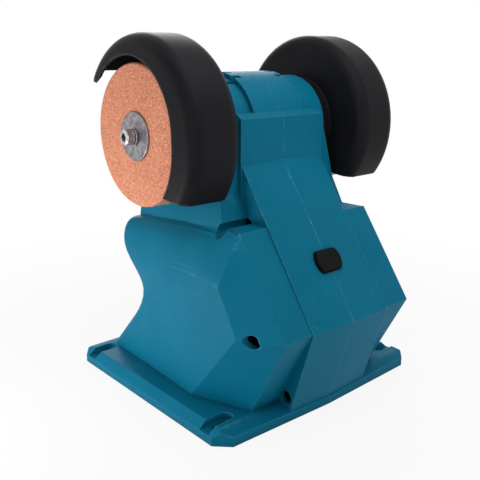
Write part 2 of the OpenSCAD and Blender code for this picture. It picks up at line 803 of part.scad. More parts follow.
module windings() {
    color([0.72, 0.4, 0.16]) {
        for (a = [0 : 72 : 288]) translate([-core_x - 1, 0, axis_h]) rotate([90, 0, 90]) rotate(a)
            translate([core_slot_r + coil_gap, coil_gap - core_slot_w / 2]) linear_extrude(2 * core_x + 2)
                square([core_slot_l - 2 * coil_gap, core_slot_w - 2 * coil_gap]);
        for (s = [-1, 1]) ring(coil_out_r, coil_in_r, s > 0 ? core_x + coil_clear : -core_x - coil_head,
            s > 0 ? core_x + coil_head : -core_x - coil_clear);
    }
}

module commutator() {
    color([0.72, 0.45, 0.2]) difference() {
        ring(comm_r, spindle_d / 2 + run_clear, comm_x0, comm_x1);
        for (a = [36 : 72 : 324]) translate([comm_x0 - 1, 0, axis_h]) rotate([a, 0, 0])
            translate([0, comm_r - 0.8, -0.3]) cube([10, 2, 0.6]);
    }
}

module cooling_fan() {
    color([0.85, 0.85, 0.82]) difference() {
        union() {
            rod(fan_r, -fan_x1, fan_disc_t - fan_x1);
            rod(fan_hub_r, -fan_x1, -fan_x0);
            for (a = [0 : 45 : 315]) translate([0, 0, axis_h]) rotate([a, 0, 0])
                translate([blade_root - fan_x1, fan_hub_r - blade_root, -blade_t / 2])
                    cube([blade_l, fan_r - fan_hub_r + blade_root - blade_edge, blade_t]);
        }
        rod(spindle_d / 2 + run_clear, -far, far);
    }
}

module arbor(side) {
    color([0.6, 0.61, 0.63]) on_axis(side) difference() {
        union() {
            translate([0, 0, wheel_in - arbor_flange_t]) cylinder(r = arbor_flange_d / 2, h = arbor_flange_t);
            translate([0, 0, wheel_in - arbor_flange_t - 6]) cylinder(r = spindle_d / 2 + 3, h = 7);
            translate([0, 0, wheel_in]) cylinder(r = wheel_bore / 2, h = wheel_t - 1);
        }
        cylinder(r = spindle_d / 2 + run_clear, h = far);
    }
}

module arbor_left() {
    arbor(-1);
}

module arbor_right() {
    arbor(1);
}

module wheel_bore_cut(side) {
    rod(wheel_bore / 2 + run_clear, side > 0 ? 0 : -far, side > 0 ? far : 0);
}

module grinding_wheel() {
    edge = 0.8;
    color([0.83, 0.55, 0.43]) difference() {
        on_axis(-1) translate([0, 0, wheel_in]) rotate_extrude() polygon([[0, 0], [wheel_d / 2 - edge, 0],
            [wheel_d / 2, edge], [wheel_d / 2, wheel_t - edge], [wheel_d / 2 - edge, wheel_t], [0, wheel_t]]);
        wheel_bore_cut(-1);
    }
}

module polishing_wheel() {
    color([0.85, 0.86, 0.84]) difference() {
        on_axis(1) bowl(wheel_d / 2, wheel_in, wheel_out, felt_round, felt_round);
        wheel_bore_cut(1);
    }
}

module flange(side) {
    color([0.62, 0.62, 0.65]) on_axis(side) difference() {
        union() {
            translate([0, 0, wheel_out]) cylinder(r = flange_d / 2, h = flange_t - 0.5);
            translate([0, 0, wheel_out + flange_t - 0.5])
                cylinder(r1 = flange_d / 2, r2 = flange_d / 2 - 0.5, h = 0.5);
        }
        cylinder(r = screw_r + run_clear, h = far);
    }
}

module flange_left() {
    flange(-1);
}

module flange_right() {
    flange(1);
}

module lock_washer(side) {
    color([0.5, 0.5, 0.53]) on_axis(side) difference() {
        translate([0, 0, wheel_out + flange_t]) cylinder(r = lock_d / 2, h = lock_t);
        cylinder(r = screw_r + run_clear, h = far);
        rotate([0, 0, 40]) translate([0, -0.4, wheel_out]) cube([lock_d, 0.8, 10]);
    }
}

module lock_washer_left() {
    lock_washer(-1);
}

module lock_washer_right() {
    lock_washer(1);
}

module wheel_screw(side) {
    seat = wheel_out + flange_t + lock_t;
    color([0.55, 0.55, 0.58]) on_axis(side) difference() {
        union() {
            translate([0, 0, seat]) cylinder(r = screw_head_r, h = screw_head_l - 0.6);
            translate([0, 0, seat + screw_head_l - 0.6])
                cylinder(r1 = screw_head_r, r2 = screw_head_r - 0.5, h = 0.6);
            translate([0, 0, seat - screw_len]) cylinder(r = screw_r, h = screw_len);
        }
        translate([0, 0, seat + screw_head_l - 2.6]) cylinder(r = socket_af / sqrt(3), h = 10, $fn = 6);
    }
}

module wheel_screw_left() {
    wheel_screw(-1);
}

module wheel_screw_right() {
    wheel_screw(1);
}

housing_left();
housing_right();
housing_screws();
guard_left();
guard_right();
guard_screws();
motor_can();
motor_end_left();
motor_end_right();
magnets();
bearing_left();
bearing_right();
brush_holders();
brushes();
power_switch();
dc_inlet();
lead_wires();
spindle();
armature_core();
windings();
commutator();
cooling_fan();
arbor_left();
arbor_right();
grinding_wheel();
polishing_wheel();
flange_left();
flange_right();
lock_washer_left();
lock_washer_right();
wheel_screw_left();
wheel_screw_right();
power_button();
switch_plunger();
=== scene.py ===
"""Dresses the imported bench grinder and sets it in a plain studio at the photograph's viewing angle."""
from __future__ import annotations

import logging
import math
from dataclasses import dataclass
from dataclasses import field
from enum import Enum

import bmesh
import bpy
from mathutils import Euler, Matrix
from mathutils import Vector

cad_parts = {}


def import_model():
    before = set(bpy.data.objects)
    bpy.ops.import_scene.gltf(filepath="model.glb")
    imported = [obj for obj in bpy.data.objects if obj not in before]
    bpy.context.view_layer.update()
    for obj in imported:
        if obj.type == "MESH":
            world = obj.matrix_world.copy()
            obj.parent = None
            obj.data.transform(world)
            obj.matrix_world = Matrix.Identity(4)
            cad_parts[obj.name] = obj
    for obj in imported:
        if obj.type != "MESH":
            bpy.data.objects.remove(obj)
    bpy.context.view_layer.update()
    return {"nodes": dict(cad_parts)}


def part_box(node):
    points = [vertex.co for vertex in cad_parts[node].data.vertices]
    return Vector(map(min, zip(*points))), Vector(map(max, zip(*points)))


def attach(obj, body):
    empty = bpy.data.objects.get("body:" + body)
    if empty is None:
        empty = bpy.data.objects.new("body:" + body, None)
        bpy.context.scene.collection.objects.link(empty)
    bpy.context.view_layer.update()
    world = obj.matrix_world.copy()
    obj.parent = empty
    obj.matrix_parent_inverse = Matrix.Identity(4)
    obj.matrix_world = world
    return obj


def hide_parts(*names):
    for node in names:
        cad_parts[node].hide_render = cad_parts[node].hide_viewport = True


LOG = logging.getLogger("bench_grinder")
MM = 0.001
ROTOR = "rotor"
# rays that the edge wear with its painted highlight and the painted shade in hollows cast at each point
PROBES = 8

Colour = tuple[float, float, float, float]
WHITE: Colour = (1.0, 1.0, 1.0, 1.0)


def srgb(red: int, green: int, blue: int) -> Colour:
    """Turns a colour seen on screen into the linear colour that a shader takes.

    Args:
        red: Red from 0 to 255.
        green: Green from 0 to 255.
        blue: Blue from 0 to 255.

    Returns:
        The linear colour with full alpha.
    """
    linear = []
    for part in (red, green, blue):
        value = part / 255.0
        linear.append(value / 12.92 if value <= 0.04045 else ((value + 0.055) / 1.055) ** 2.4)
    return (linear[0], linear[1], linear[2], 1.0)


class Side(Enum):
    """The two ends of the spindle, with the sign of X on each."""

    LEFT = -1
    RIGHT = 1

    @property
    def word(self) -> str:
        """The word that node names end in."""
        return self.name.lower()


class Effect(Enum):
    """The shader effects that several finishes share."""

    GRAIN = "Mould grain"
    DRIFT = "Colour drift"
    SCUFF = "Scuff marks"
    BRUSH = "Turned metal"
    CRUMB = "Bonded grit"
    HOLLOW = "Shade in hollows"
    # pale edges: partly real wear, partly a painted highlight
    WEAR_AND_HIGHLIGHT = "Edge wear"


class Socket(Enum):
    """The kinds of socket that the effect groups use."""

    VALUE = "NodeSocketFloat"
    COLOUR = "NodeSocketColor"
    VECTOR = "NodeSocketVector"


@dataclass
class Tree:
    """A shader node tree with short ways to add and join nodes."""

    nodes: bpy.types.ShaderNodeTree

    def add(self, kind: str, **settings: object) -> bpy.types.Node:
        """Adds a node.

        Args:
            kind: The node type after the word ShaderNode.
            settings: Properties to set on the node.

        Returns:
            The new node.
        """
        made = self.nodes.nodes.new(kind if kind.startswith("NodeGroup") else "ShaderNode" + kind)
        for name, value in settings.items():
            setattr(made, name, value)
        return made

    def join(self, start: bpy.types.NodeSocket, end: bpy.types.NodeSocket) -> None:
        """Links one socket to another."""
        self.nodes.links.new(start, end)

    def feed(self, socket: bpy.types.NodeSocket, value: object) -> None:
        """Feeds an input from a socket, or sets it to a number or colour.

        Args:
            socket: The input.
            value: A socket, a number or a colour.
        """
        if isinstance(value, bpy.types.NodeSocket):
            self.join(value, socket)
        else:
            socket.default_value = value

    def math(self, operation: str, first: object, second: object = 0.0) -> bpy.types.NodeSocket:
        """Adds a math node.

        Args:
            operation: The operation of the node.
            first: A socket or a number.
            second: A socket or a number, unused by some operations.

        Returns:
            The output socket.
        """
        made = self.add("Math", operation=operation)
        for place, value in enumerate((first, second)):
            self.feed(made.inputs[place], value)
        return made.outputs[0]

    def blend(self, factor: object, first: object, second: object,
              mode: str = "MIX") -> bpy.types.NodeSocket:
        """Mixes two colours.

        Args:
            factor: A socket or a number.
            first: A socket or a colour.
            second: A socket or a colour.
            mode: The way of mixing.

        Returns:
            The output socket.
        """
        made = self.add("Mix", data_type="RGBA", blend_type=mode)
        for place, value in ((0, factor), (6, first), (7, second)):
            self.feed(made.inputs[place], value)
        return made.outputs[2]

    def span(self, value: bpy.types.NodeSocket, low: object, high: object, to_low: object, to_high: object,
             smooth: bool = False) -> bpy.types.NodeSocket:
        """Maps a value from one range to another, held at its ends.

        Args:
            value: The socket to map.
            low: Start of the range read, a socket or a number.
            high: End of the range read, a socket or a number.
            to_low: Start of the range given, a socket or a number.
            to_high: End of the range given, a socket or a number.
            smooth: Whether the ends are eased.

        Returns:
            The output socket.
        """
        made = self.add("MapRange", interpolation_type="SMOOTHSTEP" if smooth else "LINEAR")
        self.join(value, made.inputs["Value"])
        for name, end in (("From Min", low), ("From Max", high), ("To Min", to_low), ("To Max", to_high)):
            self.feed(made.inputs[name], end)
        return made.outputs["Result"]

    def noise(self, place: bpy.types.NodeSocket, scale: object, detail: float = 2.0,
              rough: float = 0.5) -> bpy.types.NodeSocket:
        """Adds a noise texture.

        Args:
            place: The coordinates.
            scale: A socket or a number, in features per metre.
            detail: Number of finer layers.
            rough: Strength of the finer layers.

        Returns:
            The value socket.
        """
        made = self.add("TexNoise")
        self.join(place, made.inputs["Vector"])
        self.feed(made.inputs["Scale"], scale)
        made.inputs["Detail"].default_value = detail
        made.inputs["Roughness"].default_value = rough
        return made.outputs["Fac"]

    def stretched(self, place: bpy.types.NodeSocket, scale: tuple[float, float, float],
                  turn: tuple[float, float, float] = (0.0, 0.0, 0.0)) -> bpy.types.NodeSocket:
        """Turns and stretches coordinates.

        Args:
            place: The coordinates.
            scale: Stretch along each axis.
            turn: Turn about each axis, in radians.

        Returns:
            The new coordinates.
        """
        made = self.add("Mapping")
        self.join(place, made.inputs["Vector"])
        made.inputs["Scale"].default_value = scale
        made.inputs["Rotation"].default_value = turn
        return made.outputs["Vector"]


class EffectShop:
    """Builds each shared effect once as a node group and hands it out."""

    def __init__(self) -> None:
        """Starts with no group built."""
        self.built: dict[Effect, bpy.types.ShaderNodeTree] = {}

    def get(self, effect: Effect) -> bpy.types.ShaderNodeTree:
        """Gives the node group of an effect, built on first use.

        Args:
            effect: The effect wanted.

        Returns:
            The node group.
        """
        makers = {
            Effect.GRAIN: self.make_grain,
            Effect.DRIFT: self.make_drift,
            Effect.SCUFF: self.make_scuff,
            Effect.BRUSH: self.make_brush,
            Effect.CRUMB: self.make_crumb,
            Effect.HOLLOW: self.make_hollow,
            Effect.WEAR_AND_HIGHLIGHT: self.make_wear_and_highlight,
        }
        if effect not in self.built:
            self.built[effect] = makers[effect]()
        return self.built[effect]

    @staticmethod
    def blank(effect: Effect, inputs: dict[str, tuple[Socket, object]],
              outputs: dict[str, Socket]) -> tuple[Tree, bpy.types.Node, bpy.types.Node]:
        """Makes an empty group with named sockets.

        Args:
            effect: The effect that the group holds.
            inputs: Kind and default of each input.
            outputs: Kind of each output.

        Returns:
            The tree, its input node and its output node.
        """
        group = bpy.data.node_groups.new(effect.value, "ShaderNodeTree")
        for name, (kind, value) in inputs.items():
            made = group.interface.new_socket(name=name, in_out="INPUT", socket_type=kind.value)
            if value is not None:
                made.default_value = value
        for name, kind in outputs.items():
            group.interface.new_socket(name=name, in_out="OUTPUT", socket_type=kind.value)
        tree = Tree(group)
        return tree, tree.add("NodeGroupInput"), tree.add("NodeGroupOutput")

    def make_grain(self) -> bpy.types.ShaderNodeTree:
        """Fine texture of a moulded surface, as a height and a change of roughness.

        Returns:
            The node group.
        """
        tree, start, end = self.blank(
            Effect.GRAIN,
            {"Place": (Socket.VECTOR, None), "Scale": (Socket.VALUE, 2500.0), "Rough": (Socket.VALUE, 0.5),
             "Spread": (Socket.VALUE, 0.1)},
            {"Height": Socket.VALUE, "Roughness": Socket.VALUE})
        fine = tree.noise(start.outputs["Place"], start.outputs["Scale"], detail=3.0, rough=0.6)
        broad = tree.noise(start.outputs["Place"], 60.0, detail=4.0, rough=0.6)
        tree.join(fine, end.inputs["Height"])
        centred = tree.math("SUBTRACT", broad, 0.5)
        scaled = tree.math("MULTIPLY", centred, start.outputs["Spread"])
        tree.join(tree.math("ADD", start.outputs["Rough"], scaled), end.inputs["Roughness"])
        return tree.nodes

    def make_drift(self) -> bpy.types.ShaderNodeTree:
        """Slow change between two near colours.

        Returns:
            The node group.
        """
        tree, start, end = self.blank(
            Effect.DRIFT,
            {"Place": (Socket.VECTOR, None), "Scale": (Socket.VALUE, 25.0),
             "First": (Socket.COLOUR, None), "Second": (Socket.COLOUR, None)},
            {"Colour": Socket.COLOUR})
        cloud = tree.noise(start.outputs["Place"], start.outputs["Scale"], detail=3.0, rough=0.55)
        factor = tree.span(cloud, 0.3, 0.7, 0.0, 1.0, smooth=True)
        tree.join(tree.blend(factor, start.outputs["First"], start.outputs["Second"]), end.inputs["Colour"])
        return tree.nodes

    def make_scuff(self) -> bpy.types.ShaderNodeTree:
        """Thin broken scuffs in three directions, as a mask.

        Returns:
            The node group.
        """
        tree, start, end = self.blank(
            Effect.SCUFF,
            {"Place": (Socket.VECTOR, None), "Amount": (Socket.VALUE, 0.5)},
            {"Mask": Socket.VALUE})
        total = None
        for turn, stretch in (((0.4, 0.9, 0.2), 9.0), ((1.1, 0.3, 1.7), 12.0), ((2.0, 1.4, 0.8), 7.0)):
            place = tree.stretched(start.outputs["Place"], (1.0, 1.0, 1.0 / stretch), turn)
            line = tree.span(tree.noise(place, 900.0, detail=1.0), 0.69, 0.76, 0.0, 1.0, smooth=True)
            total = line if total is None else tree.math("MAXIMUM", total, line)
        cloud = tree.noise(start.outputs["Place"], 55.0, detail=2.0)
        patch = tree.span(cloud, 0.5, 0.68, 0.0, 1.0, smooth=True)
        masked = tree.math("MULTIPLY", total, patch)
        tree.join(tree.math("MULTIPLY", masked, start.outputs["Amount"]), end.inputs["Mask"])
        return tree.nodes

    def make_brush(self) -> bpy.types.ShaderNodeTree:
        """Fine rings and dull spots of turned and plated metal.

        Returns:
            The node group.
        """
        tree, start, end = self.blank(
            Effect.BRUSH,
            {"Place": (Socket.VECTOR, None), "Low": (Socket.VALUE, 0.25), "High": (Socket.VALUE, 0.45)},
            {"Roughness": Socket.VALUE, "Mask": Socket.VALUE, "Height": Socket.VALUE})
        spread = tree.noise(start.outputs["Place"], 420.0, detail=3.0, rough=0.65)
        flat = tree.stretched(start.outputs["Place"], (0.02, 1.0, 1.0))
        scratch = tree.noise(flat, 2600.0, detail=1.0)
        both = tree.math("ADD", tree.math("MULTIPLY", spread, 0.7), tree.math("MULTIPLY", scratch, 0.3))
        mask = tree.span(both, 0.36, 0.64, 0.0, 1.0)
        gap = tree.math("SUBTRACT", start.outputs["High"], start.outputs["Low"])
        rough = tree.math("ADD", start.outputs["Low"], tree.math("MULTIPLY", mask, gap))
        tree.join(rough, end.inputs["Roughness"])
        tree.join(mask, end.inputs["Mask"])
        tree.join(scratch, end.inputs["Height"])
        return tree.nodes

    def make_crumb(self) -> bpy.types.ShaderNodeTree:
        """Grains bonded together, as a random tone per grain, a height and a mask of pores.

        Returns:
            The node group.
        """
        tree, start, end = self.blank(
            Effect.CRUMB,
            {"Place": (Socket.VECTOR, None), "Scale": (Socket.VALUE, 1500.0)},
            {"Tone": Socket.VALUE, "Height": Socket.VALUE, "Pores": Socket.VALUE})
        cells = tree.add("TexVoronoi", feature="F1")
        tree.join(start.outputs["Place"], cells.inputs["Vector"])
        tree.join(start.outputs["Scale"], cells.inputs["Scale"])
        parts = tree.add("SeparateColor")
        tree.join(cells.outputs["Color"], parts.inputs["Color"])
        tree.join(parts.outputs[0], end.inputs["Tone"])
        lump = tree.math("SUBTRACT", 1.0, cells.outputs["Distance"])
        height = tree.math("ADD", lump, tree.math("MULTIPLY", parts.outputs[1], 0.5))
        tree.join(height, end.inputs["Height"])
        pores = tree.noise(start.outputs["Place"], 800.0, detail=2.0, rough=0.7)
        tree.join(tree.span(pores, 0.63, 0.68, 0.0, 1.0, smooth=True), end.inputs["Pores"])
        return tree.nodes

    def make_hollow(self) -> bpy.types.ShaderNodeTree:
        """Shade in grooves and corners, as how open a point lies and how much of its colour is left.

        Returns:
            The node group.
        """
        tree, start, end = self.blank(
            Effect.HOLLOW,
            {"Reach": (Socket.VALUE, 0.006), "Depth": (Socket.VALUE, 0.3), "Closed": (Socket.VALUE, 0.3)},
            {"Openness": Socket.VALUE, "Left": Socket.VALUE})
        hollow = tree.add("AmbientOcclusion", samples=PROBES)
        tree.join(start.outputs["Reach"], hollow.inputs["Distance"])
        lowest = tree.math("SUBTRACT", 1.0, start.outputs["Depth"])
        left = tree.span(hollow.outputs["AO"], start.outputs["Closed"], 0.95, lowest, 1.0)
        tree.join(hollow.outputs["AO"], end.inputs["Openness"])
        tree.join(left, end.inputs["Left"])
        return tree.nodes

    def make_wear_and_highlight(self) -> bpy.types.ShaderNodeTree:
        """Edges that stand out, as a mask in broken lines of wear and painted highlight, and a rounded
        normal.

        Returns:
            The node group.
        """
        tree, start, end = self.blank(
            Effect.WEAR_AND_HIGHLIGHT,
            {"Place": (Socket.VECTOR, None), "Radius": (Socket.VALUE, 0.001), "Amount": (Socket.VALUE, 0.6),
             "Openness": (Socket.VALUE, 1.0)},
            {"Mask": Socket.VALUE, "Normal": Socket.VECTOR})
        rounded = tree.add("Bevel", samples=PROBES)
        tree.join(start.outputs["Radius"], rounded.inputs["Radius"])
        turn = tree.add("VectorMath", operation="DOT_PRODUCT")
        tree.join(rounded.outputs["Normal"], turn.inputs[0])
        tree.join(tree.add("NewGeometry").outputs["True Normal"], turn.inputs[1])
        edge = tree.span(turn.outputs["Value"], 0.9, 0.995, start.outputs["Amount"], 0.0, smooth=True)
        edge = tree.math("MULTIPLY", edge, tree.span(start.outputs["Openness"], 0.8, 0.97, 0.0, 1.0))
        cloud = tree.noise(start.outputs["Place"], 190.0, detail=4.0, rough=0.65)
        worn = tree.span(cloud, 0.4, 0.62, 0.3, 1.0, smooth=True)
        tree.join(tree.math("MULTIPLY", edge, worn), end.inputs["Mask"])
        tree.join(rounded.outputs["Normal"], end.inputs["Normal"])
        return tree.nodes


SHOP = EffectShop()


@dataclass(frozen=True)
class Finish:
    """A surface finish.

    Attributes:
        name: Name of the material.
        slot: Name of a slot; not used.
        colour: Main colour.
        second: Near colour that it drifts to.
        rough: Roughness of the surface.
        specular: Strength of its mirror shine.
        drift: Patches of the two colours per metre.
        strength: Strength of the relief.
        depth: Height of the relief in millimetres.
    """

    name: str
    slot: str
    colour: Colour
    second: Colour
    rough: float = 0.5
    specular: float = 0.5
    drift: float = 25.0
    strength: float = 0.35
    depth: float = 0.02

    def start(self) -> tuple[Tree, bpy.types.Node, bpy.types.NodeSocket, bpy.types.Material]:
        """Makes an empty material with its shader and coordinates.

        Returns:
            The tree, the shader, the coordinates and the material.
        """
        material = bpy.data.materials.new(self.name)
        material.use_nodes = True
        material.diffuse_color = self.colour
        material.node_tree.nodes.clear()
        tree = Tree(material.node_tree)
        out = tree.add("OutputMaterial")
        shader = tree.add("BsdfPrincipled")
        shader.inputs["Base Color"].default_value = self.colour
        shader.inputs["Roughness"].default_value = self.rough
        shader.inputs["Specular IOR Level"].default_value = self.specular
        tree.join(shader.outputs["BSDF"], out.inputs["Surface"])
        place = tree.add("TexCoord").outputs["Object"]
        return tree, shader, place, material

    @staticmethod
    def effect(tree: Tree, effect: Effect, **values: object) -> bpy.types.Node:
        """Places a shared effect in a material.

        Args:
            tree: The material's tree.
            effect: The effect to place.
            values: Sockets, numbers or colours for its inputs.

        Returns:
            The group node.
        """
        made = tree.add("Group", node_tree=SHOP.get(effect))
        for name, value in values.items():
            tree.feed(made.inputs[name], value)
        return made

    def drifted(self, tree: Tree, place: bpy.types.NodeSocket) -> bpy.types.NodeSocket:
        """Mixes the two colours in slow patches.

        Args:
            tree: The material's tree.
            place: The coordinates.

        Returns:
            The colour socket.
        """
        made = self.effect(tree, Effect.DRIFT, Place=place, Scale=self.drift, First=self.colour,
                           Second=self.second)
        return made.outputs["Colour"]

    def relief(self, tree: Tree, shader: bpy.types.Node, height: bpy.types.NodeSocket) -> bpy.types.Node:
        """Feeds a height to the shader's normal.

        Args:
            tree: The material's tree.
            shader: The shader node.
            height: The height socket.

        Returns:
            The bump node.
        """
        made = tree.add("Bump")
        made.inputs["Strength"].default_value = self.strength
        made.inputs["Distance"].default_value = self.depth * MM
        tree.join(height, made.inputs["Height"])
        tree.join(made.outputs["Normal"], shader.inputs["Normal"])
        return made

    def material(self) -> bpy.types.Material:
        """Gives the finish's material, made on first use.

        Returns:
            The material.
        """
        found = bpy.data.materials.get(self.name)
        return found if found is not None else self.make()

    def make(self) -> bpy.types.Material:
        """Makes the material.

        Returns:
            The material.
        """
        raise NotImplementedError


@dataclass(frozen=True)
class Moulded(Finish):
    """Moulded plastic with fine grain, a slow drift of colour, pale scuffs, painted shade in creases and
    pale edges that are partly wear and partly painted highlight.

    Attributes:
        grain: Grains per metre.
        scuffs: Strength of the scuffs.
        scuff_colour: Colour of the scuffs.
        spread: Change of roughness over the surface.
        seam_scuff: Strength of the pale flash along the seam.
        seam_near: Half width of the flash in millimetres.
        seam_far: Distance from the seam, in millimetres, where the flash has faded out.
        seam_wander: How far the flash strays from the seam, in millimetres.
        edge_width: Width of the rounded edges and of their pale marks in millimetres.
        edge_wear_and_highlight_colour: Colour of the pale edges, partly wear and partly painted highlight.
        edge_wear_and_highlight_amount: Strength of the pale edges, partly wear and partly painted highlight.
        crease_shade: Strength of the painted shade in deep creases, as the share of the colour they lose.
        crease_shade_reach: Size in millimetres of the hollows that get the painted shade.
    """

    grain: float = 2500.0
    scuffs: float = 0.35
    scuff_colour: Colour = srgb(148, 188, 203)
    spread: float = 0.16
    seam_scuff: float = 0.0
    seam_near: float = 0.2
    seam_far: float = 1.1
    seam_wander: float = 2.2
    edge_width: float = 0.0
    edge_wear_and_highlight_colour: Colour = srgb(148, 188, 203)
    edge_wear_and_highlight_amount: float = 0.6
    crease_shade: float = 0.0
    crease_shade_reach: float = 9.0

    def make(self) -> bpy.types.Material:
        """Makes the material.

        Returns:
            The material.
        """
        tree, shader, place, material = self.start()
        scuff = self.effect(tree, Effect.SCUFF, Place=place, Amount=self.scuffs)
        mask = scuff.outputs["Mask"]
        if self.seam_scuff > 0.0:
            mask = tree.math("MAXIMUM", mask, self.seam_mask(tree, place))
        shade = tree.blend(mask, self.drifted(tree, place), self.scuff_colour)
        grain = self.effect(tree, Effect.GRAIN, Place=place, Scale=self.grain, Rough=self.rough,
                            Spread=self.spread)
        tree.join(grain.outputs["Roughness"], shader.inputs["Roughness"])
        relief = self.relief(tree, shader, grain.outputs["Height"])
        openness = 1.0
        # painted shade: the colour darkens in creases and corners by how closed in they are
        if self.crease_shade > 0.0:
            hollow = self.effect(tree, Effect.HOLLOW, Reach=self.crease_shade_reach * MM, Depth=self.crease_shade)
            openness = hollow.outputs["Openness"]
            shade = tree.blend(1.0, shade, hollow.outputs["Left"], "MULTIPLY")
        # pale edges, partly wear and partly painted highlight, kept off closed-in edges
        if self.edge_width > 0.0:
            wear = self.effect(tree, Effect.WEAR_AND_HIGHLIGHT, Place=place, Radius=self.edge_width * MM,
                               Amount=self.edge_wear_and_highlight_amount, Openness=openness)
            tree.join(wear.outputs["Normal"], relief.inputs["Normal"])
            shade = tree.blend(wear.outputs["Mask"], shade, self.edge_wear_and_highlight_colour)
        tree.join(shade, shader.inputs["Base Color"])
        return material

    def seam_mask(self, tree: Tree, place: bpy.types.NodeSocket) -> bpy.types.NodeSocket:
        """Finds broken pale flash along the seam between the two halves.

        Args:
            tree: The material's tree.
            place: The coordinates.

        Returns:
            The mask socket.
        """
        axes = tree.add("SeparateXYZ")
        tree.join(place, axes.inputs["Vector"])
        stray = self.seam_wander * MM
        wander = tree.span(tree.noise(place, 160.0, detail=3.0), 0.0, 1.0, -stray, stray)
        offset = tree.math("ABSOLUTE", tree.math("ADD", axes.outputs["X"], wander))
        near = tree.span(offset, self.seam_near * MM, self.seam_far * MM, 1.0, 0.0, smooth=True)
        cloud = tree.noise(place, 240.0, detail=4.0, rough=0.7)
        broken = tree.span(cloud, 0.54, 0.66, 0.0, 1.0, smooth=True)
        both = tree.math("MULTIPLY", near, broken)
        return tree.math("MULTIPLY", both, self.seam_scuff)


@dataclass(frozen=True)
class Stone(Finish):
    """Bonded abrasive with pale and dark grains and open pores.

    Attributes:
        pale: Colour of the palest grains.
        dark: Colour of the darkest grains and of the pores.
        grain: Grains per metre.
        pale_share: Strength of the pale grains.
        dark_share: Strength of the dark grains.
        pore_share: Strength of the pores.
        pore_depth: Depth of the pores, where a grain is 1 high.
        gloss: Drop of roughness on the smoothest grains.
    """

    drift: float = 70.0
    strength: float = 0.7
    depth: float = 0.12
    pale: Colour = srgb(246, 198, 172)
    dark: Colour = srgb(150, 80, 56)
    grain: float = 1850.0
    pale_share: float = 0.75
    dark_share: float = 0.7
    pore_share: float = 0.8
    pore_depth: float = 0.9
    gloss: float = 0.15

    def make(self) -> bpy.types.Material:
        """Makes the material.

        Returns:
            The material.
        """
        tree, shader, place, material = self.start()
        crumb = self.effect(tree, Effect.CRUMB, Place=place, Scale=self.grain)
        tone = crumb.outputs["Tone"]
        pores = crumb.outputs["Pores"]
        light = tree.span(tone, 0.68, 0.96, 0.0, self.pale_share)
        deep = tree.span(tone, 0.0, 0.24, self.dark_share, 0.0)
        shade = tree.blend(light, self.drifted(tree, place), self.pale)
        shade = tree.blend(deep, shade, self.dark)
        shade = tree.blend(tree.math("MULTIPLY", pores, self.pore_share), shade, self.dark)
        tree.join(shade, shader.inputs["Base Color"])
        rough = tree.span(tone, 0.0, 1.0, self.rough, self.rough - self.gloss)
        tree.join(rough, shader.inputs["Roughness"])
        sunk = tree.math("MULTIPLY", pores, self.pore_depth)
        self.relief(tree, shader, tree.math("SUBTRACT", crumb.outputs["Height"], sunk))
        return material


@dataclass(frozen=True)
class Felt(Finish):
    """Pressed felt with a soft fibre nap.

    Attributes:
        sheen: Strength of the soft glow at grazing angles.
        sheen_rough: Roughness of that glow.
        nap_share: Strength of the second colour between the fibres.
        gloss: Drop of roughness on top of the fibres.
    """

    drift: float = 60.0
    strength: float = 0.6
    depth: float = 0.15
    sheen: float = 0.25
    sheen_rough: float = 0.6
    nap_share: float = 0.75
    gloss: float = 0.12

    def make(self) -> bpy.types.Material:
        """Makes the material.

        Returns:
            The material.
        """
        tree, shader, place, material = self.start()
        shader.inputs["Sheen Weight"].default_value = self.sheen
        shader.inputs["Sheen Roughness"].default_value = self.sheen_rough
        along = tree.stretched(place, (1.0, 0.16, 1.0), (0.6, 0.2, 0.9))
        across = tree.stretched(place, (1.0, 1.0, 0.16), (0.7, 0.1, 0.3))
        fibre = tree.noise(along, 1300.0, detail=3.0, rough=0.65)
        cross = tree.noise(across, 1200.0, detail=3.0, rough=0.65)
        nap = tree.math("MAXIMUM", fibre, cross)
        between = tree.span(nap, 0.5, 0.68, self.nap_share, 0.0)
        shade = tree.blend(between, self.drifted(tree, place), self.second)
        tree.join(shade, shader.inputs["Base Color"])
        rough = tree.span(nap, 0.3, 0.8, self.rough, self.rough - self.gloss)
        tree.join(rough, shader.inputs["Roughness"])
        self.relief(tree, shader, nap)
        return material


@dataclass(frozen=True)
class Metal(Finish):
    """Turned or plated metal with dull patches, fine marks and painted shade in its grooves.

    Attributes:
        high: Roughness of the dull patches.
        dull_share: Strength of the second colour in the dull patches.
        grooves: Strength of the painted shade in grooves, as the share of the colour they lose.
        groove_shade_reach: Size in millimetres of the grooves that get the painted shade.
        groove_shade_floor: Openness at which the painted shade in a groove is darkest.
    """

    drift: float = 300.0
    strength: float = 0.25
    high: float = 0.45
    dull_share: float = 0.45
    grooves: float = 0.0
    groove_shade_reach: float = 1.4
    groove_shade_floor: float = 0.35

    def make(self) -> bpy.types.Material:
        """Makes the material.

        Returns:
            The material.
        """
        tree, shader, place, material = self.start()
        shader.inputs["Metallic"].default_value = 1.0
        brush = self.effect(tree, Effect.BRUSH, Place=place, Low=self.rough, High=self.high)
        dull = tree.math("MULTIPLY", brush.outputs["Mask"], self.dull_share)
        shade = tree.blend(dull, self.drifted(tree, place), self.second)
        # painted shade: the colour darkens in grooves by how closed in they are
        if self.grooves > 0.0:
            hollow = self.effect(tree, Effect.HOLLOW, Reach=self.groove_shade_reach * MM, Depth=self.grooves,
                                 Closed=self.groove_shade_floor)
            shade = tree.blend(1.0, shade, hollow.outputs["Left"], "MULTIPLY")
        tree.join(shade, shader.inputs["Base Color"])
        tree.join(brush.outputs["Roughness"], shader.inputs["Roughness"])
        self.relief(tree, shader, brush.outputs["Height"])
        return material


